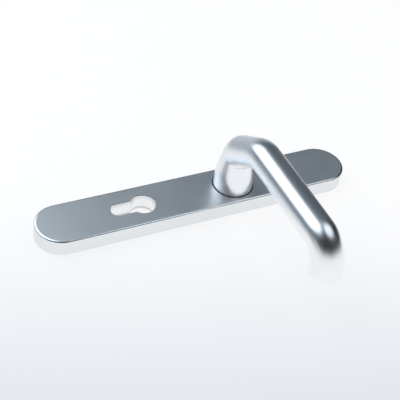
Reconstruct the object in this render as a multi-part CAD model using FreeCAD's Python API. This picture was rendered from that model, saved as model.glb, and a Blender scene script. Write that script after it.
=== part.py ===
"""Security door escutcheon: long plate, round-bar lever handle and profile cylinder cut-out.

Frame: the plate lies on its back. Z is 0 on the door face and grows out of the door, the
origin is on the lever's turning axis, X runs up the door, and the lever points along -Y.
"""
import FreeCAD, Part
import math
import os

V = FreeCAD.Vector
UP = V(0, 0, 1)

# Driving dimensions, mm

# Cover plate
plate_length = 246.0
plate_width = 38.0
plate_height = 12.5
plate_top = 93.5              # from the lever's axis to the upper end
face_wall = 3.0
rim_wall = 2.4
face_edge_round = 1.3
back_edge_chamfer = 0.3
cut_edge_chamfer = 0.25

# Cut-out for the profile cylinder
cylinder_distance = 72.0      # from the lever's axis to the round part's centre
cylinder_r = 9.0
slot_half_width = 5.6
slot_reach = 24.7             # from the round part's centre to the slot's far end

# Plates inside the cover
armour_thickness = 5.0
armour_web = 2.6              # what is left of it over the spring cup
carrier_thickness = 1.8
plate_play = 0.2              # round the edge of both plates

# Guard round the cylinder
guard_wall = 4.4
dowel_r = 1.0
dowel_recess = 0.3

# Fixing bosses, M6
fixing_inset = 15.5           # from each end of the plate
middle_fixing = -38.0
thread_core_r = 2.5
boss_end_wall = 0.8           # over the thread
boss_stem_r = 4.4
boss_collar_r = 6.0
boss_hole_gap = 0.1

# Screw posts of the cover, M3
post_r = 3.2
post_inset = 5.6              # from the side of the pocket to the post's axis
post_hole_gap = 0.2
post_end_wall = 1.2           # over the thread
screw_r = 1.5
screw_head_r = 2.9
screw_recess = 0.1            # the heads lie this far inside the back
screw_head_land = 0.3         # straight hole between the head and the carrier's far side
screw_end_gap = 0.8           # from the screw's tip to the end of its hole

# Cross recess of the screw heads
cross_width = 0.6
cross_depth = 0.8
cross_margin = 1.0            # from the ends of the cross to the head's edge

# Lever, outer form
neck_r = 14.7
neck_straight_z = 21.0        # the neck begins to taper here
neck_top_z = 38.0             # the elbow begins here
taper_length = 24.6           # along the axis, from the neck's size to the bar's
elbow_bend_r = 14.1
elbow_turn = 55.0             # degrees
shoulder_bend_r = 17.6
grip_r = 11.25
grip_height = 66.4            # axis of the bar above the door face
lever_reach = 124.4           # from the turning axis to the return end's axis
return_bend_r = 16.6
return_tip_r = 10.8
return_end_length = 5.8       # straight part below the return bend
tip_round = 1.2
neck_foot_chamfer = 0.3
neck_sections = 6             # circles that shape the tapering neck
elbow_sections = 7            # circles that shape the elbow

# Lever, bearing and drive
journal_r = 12.0
spigot_r = 8.0
flat_depth = 0.8              # of the two flats on the spigot
spigot_recess = 0.2           # the spigot ends this far inside the back
running_gap = 0.05
armour_hole_gap = 0.25

# Square socket for the spindle
socket_width = 8.1
socket_depth = 26.5
socket_end_wall = 3.5
socket_chamfer = 0.4
insert_corner_wall = 0.3      # outside the corners of the socket's mouth

# Bush in the face
bush_wall = 1.25
bush_flange_ring = 0.8        # width that shows round the neck
bush_flange_thickness = 1.1
bush_sink = 0.35              # below the face

# Bush in the carrier plate
rear_bush_wall = 1.0
rear_flange_thickness = 0.8

# Seal in the neck
seal_section_r = 0.8
seal_side_gap = 0.05

# Rings and washers on the spigot
thrust_thickness = 0.5
thrust_overlap = 1.0          # beyond the journal, under the armour plate
bore_gap = 0.1
cone_thickness = 0.4
cone_height = 0.7
cone_inset = 0.1              # its edge lies this far inside the retaining ring's
ring_thickness = 1.0
ring_overlap = 1.1            # beyond the spigot
ring_groove_depth = 0.5
ring_opening = 50.0           # degrees
ring_groove_gap = 0.05
ring_flange_gap = 0.25        # between the retaining ring and the rear bush

# Driver and its stop
travel = 45.0                 # degrees
stop_r = 0.9
stop_inset = 1.1              # from the driver's edge to the pin's axis
stop_side_gap = 0.3           # between the pin and the rear bush's flange
stop_angle = 200.0            # degrees, where the pin stands
stop_play = 0.5               # degrees, at both ends of the travel
stop_recess = 0.2
notch_floor_gap = 0.15

# Return spring
wire_r = 0.5
coil_play = 0.45              # beside the coil, to the driver and to the cup
turn_gap = 0.45               # the least between turns
floor_gap = 0.15              # between the lowest turn and the carrier plate
leg_angle = 60.0              # degrees
leg_bend_r = 1.0
inner_leg_reach = 1.7         # of the leg's tip inside the driver's edge
outer_leg_reach = 1.0         # of the leg's tip inside the cup's wall
leg_slot_gap = 0.15

# Spring cup
cup_side_gap = 0.2            # beyond the plates' edge
cup_wall = 1.2
ear_r = 3.4
ear_offset = 2.4              # from the cup's outside to the ears' axes
ear_end_wall = 0.8            # over the screws
cup_screw_r = 1.25
cup_screw_head_r = 2.4
bay_play = 0.3                # between the cup's ears and the armour plate

# Modelling values
cut_margin = 1.0              # how far a cutting tool runs past the piece
near = 1e-4                   # lengths that differ by less are the same

# Places and sizes that follow from the driving dimensions

half_width = plate_width / 2
plate_bottom = plate_top - plate_length
pocket_half_width = half_width - rim_wall
inner_half_width = pocket_half_width - plate_play
face_inner_z = plate_height - face_wall
armour_z = face_inner_z - armour_thickness
bay_z = face_inner_z - armour_web

guard_half_width = cylinder_r + guard_wall
guard_low_x = -cylinder_distance - slot_reach - guard_wall
guard_high_x = -cylinder_distance + guard_half_width
dowel_x = guard_low_x + guard_half_width
dowel_y = (slot_half_width + guard_half_width) / 2

fixing_top = plate_top - fixing_inset
fixing_bottom = plate_bottom + fixing_inset
fixing_places = (fixing_top, middle_fixing, fixing_bottom)
thread_top_z = face_inner_z - boss_end_wall

cup_outer_r = inner_half_width - cup_side_gap
cup_inner_r = cup_outer_r - cup_wall
coil_r = cup_inner_r - coil_play - wire_r
driver_r = coil_r - wire_r - coil_play
stop_circle_r = driver_r - stop_inset
rear_flange_r = stop_circle_r - stop_r - stop_side_gap
ring_r = spigot_r + ring_overlap
spigot_flat = spigot_r - flat_depth
ear_distance = cup_outer_r + ear_offset
bay_half_length = ear_distance + ear_r + bay_play

post_low_x = (fixing_bottom + boss_collar_r + guard_low_x) / 2
post_middle_x = (guard_high_x + middle_fixing - boss_collar_r) / 2
post_high_x = (bay_half_length + fixing_top - boss_collar_r) / 2
post_y = pocket_half_width - post_inset
post_thread_top_z = face_inner_z - post_end_wall
screw_tip_z = post_thread_top_z - screw_end_gap
screw_head_top_z = carrier_thickness - screw_head_land
cup_screw_tip_z = bay_z - ear_end_wall

bush_top_z = plate_height - bush_sink
bush_flange_z = bush_top_z - bush_flange_thickness
bush_flange_r = neck_r + bush_flange_ring
bush_bore_r = journal_r + running_gap
bush_barrel_r = bush_bore_r + bush_wall
neck_foot_z = bush_top_z + running_gap
seal_z = (face_inner_z + bush_top_z) / 2

rear_bush_bore_r = spigot_r + running_gap
rear_bush_r = rear_bush_bore_r + rear_bush_wall
rear_flange_top_z = carrier_thickness + rear_flange_thickness

ring_z = rear_flange_top_z + ring_flange_gap
cone_z = ring_z + ring_thickness
driver_z = cone_z + cone_height
thrust_top_z = bay_z - running_gap
driver_top_z = thrust_top_z - thrust_thickness

socket_half = socket_width / 2
socket_mouth_half = socket_half + socket_chamfer
socket_top_z = spigot_recess + socket_depth
insert_r = socket_mouth_half * math.sqrt(2) + insert_corner_wall
insert_top_z = socket_top_z + socket_end_wall

leg_top_z = (driver_z + driver_top_z) / 2
leg_bottom_z = carrier_thickness + wire_r + floor_gap
coil_rise = leg_top_z - leg_bottom_z
coil_turns = max(1, math.floor(coil_rise / (2 * wire_r + turn_gap)))
coil_pitch = coil_rise / coil_turns


def on_circle(radius, degrees, z=0.0):
    a = math.radians(degrees)
    return V(radius * math.cos(a), radius * math.sin(a), z)


def cylinder(radius, z0, z1, x=0.0, y=0.0):
    return Part.makeCylinder(radius, z1 - z0, V(x, y, z0), UP)


def cone(r0, r1, z0, z1, x=0.0, y=0.0):
    return Part.makeCone(r0, r1, z1 - z0, V(x, y, z0), UP)


def box(x0, x1, y0, y1, z0, z1):
    return Part.makeBox(x1 - x0, y1 - y0, z1 - z0, V(x0, y0, z0))


def ring(inner_r, outer_r, z0, z1):
    return cylinder(outer_r, z0, z1).cut(cylinder(inner_r, z0, z1))


def sector(inner_r, outer_r, start, sweep, z0, z1):
    """Piece of a flat ring, from the start angle on over the sweep, in degrees."""
    middle = start + sweep / 2
    end = start + sweep
    outline = wire([
        line(on_circle(inner_r, start, z0), on_circle(outer_r, start, z0)),
        arc(on_circle(outer_r, start, z0), on_circle(outer_r, middle, z0), on_circle(outer_r, end, z0)),
        line(on_circle(outer_r, end, z0), on_circle(inner_r, end, z0)),
        arc(on_circle(inner_r, end, z0), on_circle(inner_r, middle, z0), on_circle(inner_r, start, z0)),
    ])
    return Part.Face(outline).extrude(V(0, 0, z1 - z0))


def joined(shapes):
    whole = shapes[0]
    if len(shapes) > 1:
        whole = whole.fuse(list(shapes[1:]))
    return whole.removeSplitter()


def as_solid(shape):
    """The single solid of a boolean's result."""
    if len(shape.Solids) != 1:
        raise ValueError("expected one solid, got %d" % len(shape.Solids))
    return shape.Solids[0]


def wire(edges):
    return Part.Wire([e.toShape() for e in edges])


def arc(a, b, c):
    return Part.Arc(a, b, c)


def line(a, b):
    return Part.LineSegment(a, b)


def stadium(x_low, x_high, half, z0, z1):
    """Upright block with half-round ends, lying along X."""
    left = x_low + half
    right = x_high - half
    outline = wire([
        line(V(left, -half, z0), V(right, -half, z0)),
        arc(V(right, -half, z0), V(x_high, 0, z0), V(right, half, z0)),
        line(V(right, half, z0), V(left, half, z0)),
        arc(V(left, half, z0), V(x_low, 0, z0), V(left, -half, z0)),
    ])
    return Part.Face(outline).extrude(V(0, 0, z1 - z0))


def profile_cut(z0, z1):
    """The cylinder's profile: a round part and a slot that points down the door."""
    half = slot_half_width
    centre = -cylinder_distance
    neck = centre - math.sqrt(cylinder_r ** 2 - half ** 2)
    slot_end = centre - slot_reach
    slot_centre = slot_end + half
    outline = wire([
        arc(V(neck, -half, z0), V(centre + cylinder_r, 0, z0), V(neck, half, z0)),
        line(V(neck, half, z0), V(slot_centre, half, z0)),
        arc(V(slot_centre, half, z0), V(slot_end, 0, z0), V(slot_centre, -half, z0)),
        line(V(slot_centre, -half, z0), V(neck, -half, z0)),
    ])
    return Part.Face(outline).extrude(V(0, 0, z1 - z0))


def edges_at(shape, z, least=0.0, most=math.inf):
    """Edges that lie level at height z and reach between least and most from the centre line."""
    found = []
    for edge in shape.Edges:
        b = edge.BoundBox
        level = abs(b.ZMin - z) < near and abs(b.ZMax - z) < near
        reach = max(b.YMax, -b.YMin)
        if level and least - near < reach < most + near:
            found.append(edge)
    return found


def post_places():
    return [(x, y) for x in (post_low_x, post_middle_x, post_high_x) for y in (-post_y, post_y)]


def ear_places():
    return [(-ear_distance, 0.0), (ear_distance, 0.0)]


def dowel_places():
    return [(dowel_x, -dowel_y), (dowel_x, dowel_y)]


def screw_head_cone(head_r, shank_r, x, y):
    return cone(head_r, shank_r, screw_recess, screw_head_top_z, x, y)


def head_space(head_r, shank_r, x, y):
    """Countersink in the carrier plate, open to the back."""
    mouth = cylinder(head_r, 0, screw_recess, x, y)
    return mouth.fuse(screw_head_cone(head_r, shank_r, x, y))


def countersunk_screw(shank_r, head_r, tip_z, x, y):
    """Screw that enters from the back, with a cross recess in its head."""
    body = joined([screw_head_cone(head_r, shank_r, x, y),
                   cylinder(shank_r, screw_head_top_z, tip_z, x, y)])
    arm = head_r - cross_margin
    half = cross_width / 2
    top = screw_recess + cross_depth
    along = box(x - arm, x + arm, y - half, y + half, 0, top)
    across = box(x - half, x + half, y - arm, y + arm, 0, top)
    return as_solid(body.cut(along.fuse(across)))


def make_cover_plate():
    shell = stadium(plate_bottom, plate_top, half_width, 0, plate_height)
    shell = shell.makeFillet(face_edge_round, edges_at(shell, plate_height))
    shell = shell.makeChamfer(back_edge_chamfer, edges_at(shell, 0))
    shell = shell.cut(profile_cut(0, plate_height))
    shell = shell.makeChamfer(cut_edge_chamfer, edges_at(shell, plate_height, most=cylinder_r))
    pocket = stadium(plate_bottom + rim_wall, plate_top - rim_wall, pocket_half_width,
                     0, face_inner_z)
    shell = shell.cut(pocket)
    posts = [cylinder(post_r, carrier_thickness, face_inner_z, x, y) for x, y in post_places()]
    shell = joined([shell] + posts)
    holes = [cylinder(screw_r, carrier_thickness, post_thread_top_z, x, y) for x, y in post_places()]
    holes.append(cylinder(bush_barrel_r, face_inner_z, plate_height))
    holes.append(cylinder(bush_flange_r, bush_flange_z, plate_height))
    return as_solid(shell.cut(holes))


def inner_plate(z0, z1):
    """Blank that fits in the cover's pocket."""
    inset = rim_wall + plate_play
    return stadium(plate_bottom + inset, plate_top - inset, inner_half_width, z0, z1)


def make_armour_plate():
    top = face_inner_z
    blank = inner_plate(armour_z, top)
    bay = box(-bay_half_length, bay_half_length, -half_width, half_width, armour_z, bay_z)
    holes = [bay, profile_cut(armour_z, top), cylinder(journal_r + armour_hole_gap, bay_z, top)]
    holes += [cylinder(boss_stem_r, armour_z, top, x) for x in fixing_places]
    holes += [cylinder(post_r + post_hole_gap, armour_z, top, x, y) for x, y in post_places()]
    holes += [cylinder(dowel_r, armour_z, top, x, y) for x, y in dowel_places()]
    return as_solid(blank.cut(holes))


def make_carrier_plate():
    top = carrier_thickness
    blank = inner_plate(0, top)
    holes = [profile_cut(0, top), cylinder(rear_bush_r, 0, top)]
    holes += [cylinder(boss_stem_r + boss_hole_gap, 0, top, x) for x in fixing_places]
    holes += [cylinder(dowel_r, 0, top, x, y) for x, y in dowel_places()]
    holes.append(cylinder(stop_r, 0, top, stop_place().x, stop_place().y))
    for x, y in post_places():
        holes.append(cylinder(screw_r, 0, top, x, y))
        holes.append(head_space(screw_head_r, screw_r, x, y))
    for x, y in ear_places():
        holes.append(cylinder(cup_screw_r, 0, top, x, y))
        holes.append(head_space(cup_screw_head_r, cup_screw_r, x, y))
    return as_solid(blank.cut(holes))


def make_cylinder_guard():
    block = stadium(guard_low_x, guard_high_x, guard_half_width, carrier_thickness, armour_z)
    holes = [profile_cut(carrier_thickness, armour_z)]
    holes += [cylinder(dowel_r, carrier_thickness, armour_z, x, y) for x, y in dowel_places()]
    return as_solid(block.cut(holes))


def make_guard_dowels():
    return [cylinder(dowel_r, dowel_recess, face_inner_z - dowel_recess, x, y)
            for x, y in dowel_places()]


def make_fixing_bosses():
    bosses = []
    for x in fixing_places:
        body = joined([cylinder(boss_stem_r, 0, carrier_thickness, x),
                       cylinder(boss_collar_r, carrier_thickness, armour_z, x),
                       cylinder(boss_stem_r, armour_z, face_inner_z, x)])
        bosses.append(as_solid(body.cut(cylinder(thread_core_r, 0, thread_top_z, x))))
    return bosses


def make_plate_screws():
    return [countersunk_screw(screw_r, screw_head_r, screw_tip_z, x, y) for x, y in post_places()]


def make_cup_screws():
    return [countersunk_screw(cup_screw_r, cup_screw_head_r, cup_screw_tip_z, x, y)
            for x, y in ear_places()]


def make_guide_bush():
    body = joined([cylinder(bush_barrel_r, face_inner_z, bush_flange_z),
                   cylinder(bush_flange_r, bush_flange_z, bush_top_z)])
    return as_solid(body.cut(cylinder(bush_bore_r, face_inner_z, bush_top_z)))


def make_rear_bush():
    body = joined([cylinder(rear_bush_r, spigot_recess, carrier_thickness),
                   cylinder(rear_flange_r, carrier_thickness, rear_flange_top_z)])
    return as_solid(body.cut(cylinder(rear_bush_bore_r, spigot_recess, rear_flange_top_z)))


def leg_slot(inner_r, outer_r, z0, z1):
    """Slot that takes a leg of the return spring."""
    half = wire_r + leg_slot_gap
    slot = box(inner_r, outer_r, -half, half, z0, z1)
    slot.rotate(V(0, 0, 0), UP, leg_angle)
    return slot


def make_spring_cup():
    body = [cylinder(cup_outer_r, carrier_thickness, bay_z)]
    for x, y in ear_places():
        body.append(cylinder(ear_r, carrier_thickness, bay_z, x, y))
    body = joined(body).cut(cylinder(cup_inner_r, carrier_thickness, bay_z))
    holes = [cylinder(cup_screw_r, carrier_thickness, cup_screw_tip_z, x, y)
             for x, y in ear_places()]
    holes.append(leg_slot(cup_inner_r - cut_margin, cup_outer_r + cut_margin,
                          carrier_thickness, leg_bottom_z + wire_r + leg_slot_gap))
    return as_solid(body.cut(holes))


def stop_place():
    return on_circle(stop_circle_r, stop_angle)


def make_stop_pin():
    p = stop_place()
    return cylinder(stop_r, stop_recess, driver_top_z - notch_floor_gap, p.x, p.y)


def spigot_section(z0, z1, gap=0.0):
    """Round bar with the spigot's two flats."""
    flat = spigot_flat + gap
    radius = spigot_r + gap
    return cylinder(radius, z0, z1).common(box(-radius, radius, -flat, flat, z0, z1))


def make_spring_driver():
    disc = cylinder(driver_r, driver_z, driver_top_z)
    pin_half_angle = math.degrees(math.asin(stop_r / stop_circle_r))
    notch_r = stop_circle_r - stop_r - notch_floor_gap
    notch = sector(notch_r, driver_r + cut_margin, stop_angle - stop_play - pin_half_angle,
                   travel + 2 * (stop_play + pin_half_angle), driver_z, driver_top_z)
    slot = leg_slot(driver_r - inner_leg_reach - leg_slot_gap, driver_r + cut_margin,
                    driver_z, driver_top_z)
    return as_solid(disc.cut([notch, slot, spigot_section(driver_z, driver_top_z)]))


def make_thrust_washer():
    disc = cylinder(journal_r + thrust_overlap, driver_top_z, thrust_top_z)
    return as_solid(disc.cut(spigot_section(driver_top_z, thrust_top_z, bore_gap)))


def make_cone_washer():
    """Conical spring washer, wide side on the retaining ring."""
    inner = spigot_r + bore_gap
    outer = ring_r - cone_inset
    rise = cone_height - cone_thickness
    profile = Part.makePolygon([
        V(outer, 0, cone_z), V(outer, 0, cone_z + cone_thickness),
        V(inner, 0, driver_z), V(inner, 0, cone_z + rise), V(outer, 0, cone_z)])
    return as_solid(Part.Face(profile).revolve(V(0, 0, 0), UP, 360))


def make_retaining_ring():
    return sector(spigot_r - ring_groove_depth, ring_r, ring_opening / 2, 360 - ring_opening,
                  ring_z, ring_z + ring_thickness)


def make_neck_seal():
    return Part.makeTorus(journal_r - seal_section_r, seal_section_r, V(0, 0, seal_z), UP)


def heading(degrees):
    """Direction of the lever's axis, 0 out of the door, 90 along the bar, 180 back to the door."""
    a = math.radians(degrees)
    return V(0, -math.sin(a), math.cos(a))


def bend(start, begin, turn, bend_r, tube_r):
    """Round tube bent by turn degrees; returns the solid and the point where it ends."""
    centre = start + heading(begin + 90) * bend_r
    disc = Part.Face(Part.Wire(Part.makeCircle(tube_r, start, heading(begin))))
    end = centre - heading(begin + turn + 90) * bend_r
    return disc.revolve(centre, V(1, 0, 0), turn), end


def run(start, direction, length, r0, r1):
    """Straight stretch of the lever; returns the solid and the point where it ends."""
    axis = heading(direction)
    if abs(r0 - r1) < near:
        body = Part.makeCylinder(r0, length, start, axis)
    else:
        body = Part.makeCone(r0, r1, length, start, axis)
    return body, start + axis * length


def neck_foot():
    """Straight part of the neck, with a small chamfer at its foot."""
    top = neck_foot_z + neck_foot_chamfer
    return joined([cone(neck_r - neck_foot_chamfer, neck_r, neck_foot_z, top),
                   cylinder(neck_r, top, neck_straight_z)])


def taper_r(along):
    """Radius at a distance along the axis from where the taper begins."""
    t = min(max(along / taper_length, 0.0), 1.0)
    return neck_r + (grip_r - neck_r) * t * t * (3 - 2 * t)


def section(point, degrees, radius):
    """Round section across the lever's axis, with its seam on the side."""
    circle = Part.Wire(Part.makeCircle(radius))
    circle.rotate(V(0, 0, 0), V(1, 0, 0), degrees)
    circle.translate(point)
    return circle


def tapered_elbow():
    """Tapering neck and elbow in one smooth skin; returns the solid and where it ends."""
    sections = []
    straight = neck_top_z - neck_straight_z
    for i in range(neck_sections):
        along = straight * i / neck_sections
        sections.append(section(V(0, 0, neck_straight_z + along), 0, taper_r(along)))
    centre = V(0, -elbow_bend_r, neck_top_z)
    for i in range(elbow_sections + 1):
        turned = elbow_turn * i / elbow_sections
        end = centre - heading(turned + 90) * elbow_bend_r
        along = straight + elbow_bend_r * math.radians(turned)
        sections.append(section(end, turned, taper_r(along)))
    return Part.makeLoft(sections, True, False), end


def shoulder_run():
    """Length of the sloping stretch, which brings the bar to its height."""
    a = math.radians(elbow_turn)
    rise = grip_height - neck_top_z - elbow_bend_r * math.sin(a) - shoulder_bend_r * (1 - math.sin(a))
    return rise / math.cos(a)


def lever_bar():
    """Neck, elbow, sloping stretch, bar and return end."""
    solid, p = tapered_elbow()
    pieces = [neck_foot(), solid]
    solid, p = run(p, elbow_turn, shoulder_run(), grip_r, grip_r)
    pieces.append(solid)
    solid, p = bend(p, elbow_turn, 90 - elbow_turn, shoulder_bend_r, grip_r)
    pieces.append(solid)
    solid, p = run(p, 90, lever_reach - return_bend_r + p.y, grip_r, grip_r)
    pieces.append(solid)
    solid, p = bend(p, 90, 90, return_bend_r, grip_r)
    pieces.append(solid)
    tip, p = run(p, 180, return_end_length, grip_r, return_tip_r)
    tip = tip.makeFillet(tip_round, edges_at(tip, p.z))
    return pieces + [tip]


def make_lever():
    bearing = [
        cylinder(journal_r, thrust_top_z, neck_foot_z),
        spigot_section(spigot_recess, thrust_top_z),
    ]
    body = joined(bearing + lever_bar())
    ring_groove = ring(spigot_r - ring_groove_depth, spigot_r + cut_margin,
                       ring_z, ring_z + ring_thickness + ring_groove_gap)
    seal_groove_half = seal_section_r + seal_side_gap
    seal_groove = ring(journal_r - 2 * seal_section_r, journal_r + cut_margin,
                       seal_z - seal_groove_half, seal_z + seal_groove_half)
    bore = cylinder(insert_r, spigot_recess, insert_top_z)
    return as_solid(body.cut([ring_groove, seal_groove, bore]))


def square(half, z):
    return Part.makePolygon([V(half, half, z), V(-half, half, z), V(-half, -half, z),
                             V(half, -half, z), V(half, half, z)])


def make_socket_insert():
    body = cylinder(insert_r, spigot_recess, insert_top_z)
    socket = box(-socket_half, socket_half, -socket_half, socket_half, spigot_recess, socket_top_z)
    funnel = Part.makeLoft([square(socket_mouth_half, spigot_recess),
                            square(socket_half, spigot_recess + socket_chamfer)], True, True)
    return as_solid(body.cut([socket, funnel]))


def tangent_arc(start, direction, end):
    """Arc from start, leaving along direction, to end."""
    chord = end - start
    side = direction - chord * (direction.dot(chord) / chord.dot(chord))
    if side.Length < near:
        return line(start, end)
    half_turn = direction.getAngle(chord)
    side.normalize()
    middle = start + chord * 0.5 + side * (chord.Length / 2 * math.tan(half_turn / 2))
    return arc(start, middle, end)


def biarc(start, direction, end, end_direction):
    """Two arcs that join two points with both directions kept."""
    gap = end - start
    both = direction + end_direction
    a = 2 * (1 - direction.dot(end_direction))
    b = 2 * gap.dot(both)
    c = -gap.dot(gap)
    reach = (-b + math.sqrt(b * b - 4 * a * c)) / (2 * a)
    joint = (start + end + (direction - end_direction) * reach) * 0.5
    return [tangent_arc(start, direction, joint), reversed_arc(end, end_direction, joint)]


def reversed_arc(end, end_direction, joint):
    """Arc from joint that arrives at end along end_direction."""
    back = tangent_arc(end, end_direction * -1, joint)
    middle = back.value((back.FirstParameter + back.LastParameter) / 2)
    return arc(joint, middle, end)


def coil_point(turns):
    """Point and direction of the coil's axis after so many turns."""
    degrees = leg_angle + 360 * turns
    point = on_circle(coil_r, degrees, leg_bottom_z + coil_pitch * turns)
    a = math.radians(degrees)
    direction = V(-math.sin(a), math.cos(a), coil_pitch / (2 * math.pi * coil_r))
    direction.normalize()
    return point, direction


def make_return_spring():
    """One wire: outer leg into the cup, the coil, inner leg into the driver."""
    begin = leg_bend_r / (2 * math.pi * coil_r)
    wound = coil_turns - 2 * begin
    quarters = 4 * coil_turns
    stations = [coil_point(begin + wound * i / quarters) for i in range(quarters + 1)]
    outward = on_circle(1, leg_angle)
    start, start_direction = stations[0]
    end, end_direction = stations[-1]
    outer_leg = outward * (cup_inner_r + outer_leg_reach) + V(0, 0, leg_bottom_z)
    outer_foot = outward * (coil_r + leg_bend_r) + V(0, 0, leg_bottom_z)
    inner_leg = outward * (driver_r - inner_leg_reach) + V(0, 0, leg_top_z)
    inner_foot = outward * (coil_r - leg_bend_r) + V(0, 0, leg_top_z)
    path = [line(outer_leg, outer_foot)]
    path += biarc(outer_foot, outward * -1, start, start_direction)
    for (p0, d0), (p1, d1) in zip(stations, stations[1:]):
        path += biarc(p0, d0, p1, d1)
    path += biarc(end, end_direction, inner_foot, outward * -1)
    path.append(line(inner_foot, inner_leg))
    spine = wire(path)
    profile = Part.Wire(Part.makeCircle(wire_r, outer_leg, outward))
    spring = spine.makePipeShell([profile], True, False)
    expected = math.pi * wire_r ** 2 * spine.Length
    print("return spring: volume %.2f, section times length %.2f, least gap between turns %.2f"
          % (spring.Volume, expected, coil_pitch - 2 * wire_r))
    return spring


NODES = {
    "cover_plate": make_cover_plate,
    "armour_plate": make_armour_plate,
    "carrier_plate": make_carrier_plate,
    "cylinder_guard": make_cylinder_guard,
    "guard_dowels": make_guard_dowels,
    "fixing_bosses": make_fixing_bosses,
    "plate_screws": make_plate_screws,
    "guide_bush": make_guide_bush,
    "rear_bush": make_rear_bush,
    "spring_cup": make_spring_cup,
    "cup_screws": make_cup_screws,
    "stop_pin": make_stop_pin,
    "return_spring": make_return_spring,
    "lever": make_lever,
    "socket_insert": make_socket_insert,
    "neck_seal": make_neck_seal,
    "thrust_washer": make_thrust_washer,
    "spring_driver": make_spring_driver,
    "cone_washer": make_cone_washer,
    "retaining_ring": make_retaining_ring,
}


def main():
    os.makedirs("parts", exist_ok=True)
    for name, make in NODES.items():
        made = make()
        shape = Part.makeCompound(made) if isinstance(made, list) else made
        shape.exportStep("parts/%s.step" % name)
        b = shape.BoundBox
        print("%-16s %2d solid(s) %9.1f mm3  x %.1f..%.1f  y %.1f..%.1f  z %.2f..%.2f  valid %s" % (
            name, len(shape.Solids), shape.Volume, b.XMin, b.XMax, b.YMin, b.YMax,
            b.ZMin, b.ZMax, shape.isValid()))


main()
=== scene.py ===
"""Door escutcheon dressed for a studio view: satin aluminium plate and lever, steel works behind.

Every length is in metres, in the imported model's own frame: the plate lies on its back, X runs
along it and away from the keyhole, the lever points along -Y, and Z grows out of the door.
"""

import bmesh
import bpy
import math
from bpy.props import FloatProperty, FloatVectorProperty, IntProperty, PointerProperty
from mathutils import Matrix, Vector


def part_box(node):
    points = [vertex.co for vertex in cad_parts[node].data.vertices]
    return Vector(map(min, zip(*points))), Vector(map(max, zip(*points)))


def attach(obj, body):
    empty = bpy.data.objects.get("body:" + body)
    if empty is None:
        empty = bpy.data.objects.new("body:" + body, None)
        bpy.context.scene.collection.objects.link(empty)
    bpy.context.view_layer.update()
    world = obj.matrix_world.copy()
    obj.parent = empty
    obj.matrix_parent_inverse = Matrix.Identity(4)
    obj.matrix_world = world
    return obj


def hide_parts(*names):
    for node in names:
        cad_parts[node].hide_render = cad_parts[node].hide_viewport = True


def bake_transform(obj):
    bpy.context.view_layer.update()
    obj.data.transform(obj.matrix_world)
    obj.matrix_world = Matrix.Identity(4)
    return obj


bl_info = {
    "name": "Door escutcheon",
    "version": (1, 0, 0),
    "blender": (4, 5, 0),
    "location": "3D View > Sidebar > Escutcheon",
    "description": "Dresses a door escutcheon: plate, lever handle, screws and studio",
    "category": "Object",
}

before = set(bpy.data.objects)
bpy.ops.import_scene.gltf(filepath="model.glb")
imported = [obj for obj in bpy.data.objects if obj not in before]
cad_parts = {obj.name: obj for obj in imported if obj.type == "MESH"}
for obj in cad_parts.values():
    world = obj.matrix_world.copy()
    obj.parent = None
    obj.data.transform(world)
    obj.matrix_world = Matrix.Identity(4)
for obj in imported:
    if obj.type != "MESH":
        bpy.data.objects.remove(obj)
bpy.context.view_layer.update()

MM = 0.001
PLATE_LOW, PLATE_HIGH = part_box("cover_plate")
BUSH_LOW, BUSH_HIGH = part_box("guide_bush")
INSERT_LOW, INSERT_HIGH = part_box("socket_insert")


# Settings that a user would change

def length(name, description, default):
    return FloatProperty(name=name, description=description, default=default, unit="LENGTH",
                         precision=5)


def degrees(name, description, default):
    return FloatProperty(name=name, description=description, default=math.radians(default),
                         subtype="ANGLE")


def share(name, description, default):
    return FloatProperty(name=name, description=description, default=default, min=0.0, max=1.0,
                         subtype="FACTOR")


def colour(name, description, default):
    return FloatVectorProperty(name=name, description=description, default=default, size=3,
                               min=0.0, max=1.0, subtype="COLOR")


class PlateSettings(bpy.types.PropertyGroup):
    face_wall: length("Face wall", "Thickness of the cover's face", 3.0 * MM)
    rim_wall: length("Rim wall", "Thickness of the cover's rim", 2.4 * MM)
    round_in: length("Rounding, inward", "Width of the rounding on the face", 2.0 * MM)
    round_down: length("Rounding, down", "Height of the rounding on the rim", 1.2 * MM)
    back_chamfer: length("Back chamfer", "Chamfer round the back of the rim", 0.3 * MM)
    cut_chamfer: length("Cut-out chamfer", "Chamfer round the keyhole cut-out", 0.25 * MM)
    cylinder_distance: length("Cylinder distance", "Lever's axis to the cut-out's round part",
                              72 * MM)
    cylinder_radius: length("Cylinder radius", "Radius of the cut-out's round part", 9.0 * MM)
    slot_half: length("Slot half width", "Half the width of the cut-out's slot", 5.6 * MM)
    slot_reach: length("Slot reach", "Round part's centre to the slot's far end", 24.7 * MM)
    bush_barrel: length("Bush barrel", "Radius of the hole for the guide bush", 13.3 * MM)
    bush_flange: length("Bush flange", "Thickness of the guide bush's flange", 1.1 * MM)
    post_radius: length("Post radius", "Radius of the screw posts inside the cover", 3.2 * MM)
    post_bottom: length("Post bottom", "Height of the posts' ends above the door", 1.8 * MM)
    hold: length("Holding edge", "Width of the flat edge that keeps the face level", 0.12 * MM)
    end_steps: IntProperty(name="End steps", description="Steps round a half-round end", default=96)
    round_steps: IntProperty(name="Rounding steps", description="Steps across the rounding",
                             default=14)


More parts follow.
